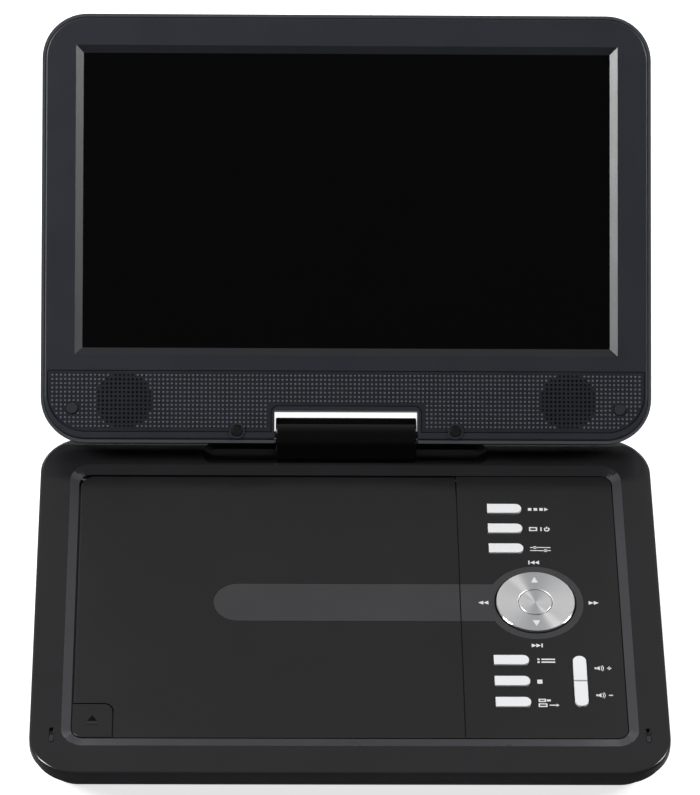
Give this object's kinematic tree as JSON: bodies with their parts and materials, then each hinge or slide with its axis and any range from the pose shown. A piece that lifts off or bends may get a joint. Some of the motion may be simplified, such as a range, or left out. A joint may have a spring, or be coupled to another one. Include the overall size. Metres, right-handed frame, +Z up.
{
  "type": "portable DVD player",
  "caption": "Portable disc player with a swivelling, tilting lid screen, perforated speakers, hinged disc door, round navigation dial and keys.",
  "frame": {"origin": "centre of the whole object's box in width and depth, at table level under the feet, lid open as shown", "axes": "+X to the right of a viewer facing the screen, +Y to the back where the lid is hinged, +Z up"},
  "size_m": [0.257, 0.3148, 0.155],
  "materials": {
    "case_gloss": "semi-gloss black",
    "case_matte": "fine matte black",
    "hinge_gloss": "glossy black",
    "strip_grey": "satin dark grey",
    "lid_shell": "satin dark grey",
    "bezel_satin": "satin blue-grey",
    "grille_plastic": "dotted matte black",
    "screen_glass": "glossy black screen",
    "key_white": "satin white",
    "dial_metal": "spun metal",
    "rubber": "matte grey",
    "cap_plastic": "matte black",
    "steel": "zinc plated",
    "port_plastic": "matte black",
    "board_green": "solder mask",
    "battery_wrap": "shrink wrap",
    "lens_glass": "clear lens",
    "bush_brass": "plain"
  },
  "bodies": {
    "base": {"bottom_case": "case_matte", "top_case": "case_gloss", "control_panel": "case_gloss", "panel_inlay": "strip_grey", "rubber_feet": "rubber", "case_screws": "steel", "rest_pads": "rubber", "main_board": "board_green", "key_board": "board_green", "battery_pack": "battery_wrap", "loader_chassis": "steel", "chassis_dampers": "rubber", "spindle_motor": "steel", "sled_motor": "steel", "guide_rods": "steel", "port_board": "board_green", "dc_jack": "port_plastic", "audio_jacks": "port_plastic", "usb_port": "steel", "card_reader": "port_plastic", "swivel_bush": "bush_brass"},
    "hinge_block": {"hinge_cover_front": "hinge_gloss", "hinge_cover_rear": "hinge_gloss", "swivel_post": "steel", "swivel_clip": "steel", "friction_barrels": "steel"},
    "lid": {"lid_rear_cover": "lid_shell", "lid_bezel": "bezel_satin", "speaker_grille": "grille_plastic", "lcd_panel": "screen_glass", "lcd_frame": "steel", "speaker_drivers": "steel", "backlight_board": "board_green", "tilt_shafts": "steel", "tilt_brackets": "steel", "bumper_plugs": "rubber", "screw_caps": "cap_plastic", "lid_screws": "steel"},
    "door": {"disc_door": "case_gloss", "door_inlay": "strip_grey", "door_pins": "steel"},
    "open_button": {"open_button": "case_gloss"},
    "door_latch": {"door_latch": "port_plastic"},
    "mode_key": {"mode_key": "key_white"},
    "display_key": {"display_key": "key_white"},
    "setup_key": {"setup_key": "key_white"},
    "menu_key": {"menu_key": "key_white"},
    "stop_key": {"stop_key": "key_white"},
    "source_key": {"source_key": "key_white"},
    "volume_up_key": {"volume_up_key": "key_white"},
    "volume_down_key": {"volume_down_key": "key_white"},
    "nav_rocker": {"nav_rocker": "port_plastic"},
    "nav_ring": {"nav_ring": "dial_metal"},
    "centre_button": {"centre_button": "dial_metal"},
    "power_slider": {"power_slider": "cap_plastic"},
    "turntable": {"turntable": "port_plastic", "chuck_balls": "steel"},
    "pickup": {"pickup_sled": "port_plastic", "objective_lens": "lens_glass"},
    "lead_screw": {"lead_screw": "steel"}
  },
  "joints": [
    {"name": "lid_swivel", "type": "hinge", "parent": "base", "child": "hinge_block", "pos_m": [0, 0.01995, 0.025], "axis": [0, 0, 1], "range_deg": [-180, 90]},
    {"name": "lid_tilt", "type": "hinge", "parent": "hinge_block", "child": "lid", "pos_m": [0, 0.01995, 0.0335], "axis": [-1, 0, 0], "range_deg": [-139, 41]},
    {"name": "door_hinge", "type": "hinge", "parent": "base", "child": "door", "pos_m": [-0.03295, 0.00405, 0.0222], "axis": [1, 0, 0], "range_deg": [-75, 0]},
    {"name": "open_button_press", "type": "slide", "parent": "base", "child": "open_button", "axis": [0, 0, -1], "range_m": [0, 0.0008], "stiffness_N_per_m": 600, "springref_m": -0.00024},
    {"name": "latch_slide", "type": "slide", "parent": "base", "child": "door_latch", "axis": [-1, 0, 0], "range_m": [0, 0.0008]},
    {"name": "mode_key_press", "type": "slide", "parent": "base", "child": "mode_key", "axis": [0, 0, -1], "range_m": [0, 0.0006], "stiffness_N_per_m": 600, "springref_m": -0.00018},
    {"name": "display_key_press", "type": "slide", "parent": "base", "child": "display_key", "axis": [0, 0, -1], "range_m": [0, 0.0006], "stiffness_N_per_m": 600, "springref_m": -0.00018},
    {"name": "setup_key_press", "type": "slide", "parent": "base", "child": "setup_key", "axis": [0, 0, -1], "range_m": [0, 0.0006], "stiffness_N_per_m": 600, "springref_m": -0.00018},
    {"name": "menu_key_press", "type": "slide", "parent": "base", "child": "menu_key", "axis": [0, 0, -1], "range_m": [0, 0.0006], "stiffness_N_per_m": 600, "springref_m": -0.00018},
    {"name": "stop_key_press", "type": "slide", "parent": "base", "child": "stop_key", "axis": [0, 0, -1], "range_m": [0, 0.0006], "stiffness_N_per_m": 600, "springref_m": -0.00018},
    {"name": "source_key_press", "type": "slide", "parent": "base", "child": "source_key", "axis": [0, 0, -1], "range_m": [0, 0.0006], "stiffness_N_per_m": 600, "springref_m": -0.00018},
    {"name": "volume_up_key_press", "type": "slide", "parent": "base", "child": "volume_up_key", "axis": [0, 0, -1], "range_m": [0, 0.0006], "stiffness_N_per_m": 600, "springref_m": -0.00018},
    {"name": "volume_down_key_press", "type": "slide", "parent": "base", "child": "volume_down_key", "axis": [0, 0, -1], "range_m": [0, 0.0006], "stiffness_N_per_m": 600, "springref_m": -0.00018},
    {"name": "nav_rock_y", "type": "hinge", "parent": "base", "child": "nav_rocker", "pos_m": [0.0771, -0.06495, 0.0215], "axis": [0, 1, 0], "range_deg": [-1.5, 1.5], "stiffness_Nm_per_rad": 0.6},
    {"name": "nav_rock_x", "type": "hinge", "parent": "nav_rocker", "child": "nav_ring", "pos_m": [0.0771, -0.06495, 0.0215], "axis": [1, 0, 0], "range_deg": [-1.5, 1.5], "stiffness_Nm_per_rad": 0.6},
    {"name": "centre_button_press", "type": "slide", "parent": "base", "child": "centre_button", "axis": [0, 0, -1], "range_m": [0, 0.0005], "stiffness_N_per_m": 600, "springref_m": -0.00015},
    {"name": "power_slide", "type": "slide", "parent": "base", "child": "power_slider", "axis": [0, 1, 0], "range_m": [0, 0.004]},
    {"name": "turntable_spin", "type": "hinge", "parent": "base", "child": "turntable", "pos_m": [-0.03295, -0.06585, 0.016], "axis": [0, 0, 1], "continuous": true},
    {"name": "pickup_slide", "type": "slide", "parent": "base", "child": "pickup", "axis": [0, -1, 0], "range_m": [0, 0.034]},
    {"name": "lead_screw_spin", "type": "hinge", "parent": "base", "child": "lead_screw", "pos_m": [-0.01095, -0.09025, 0.008], "axis": [0, 1, 0], "continuous": true}
  ],
  "couplings": [
    {"joint": "latch_slide", "follows": "open_button_press", "ratio": 1},
    {"joint": "lead_screw_spin", "follows": "pickup_slide", "rad_per_m": 2094.4}
  ]
}
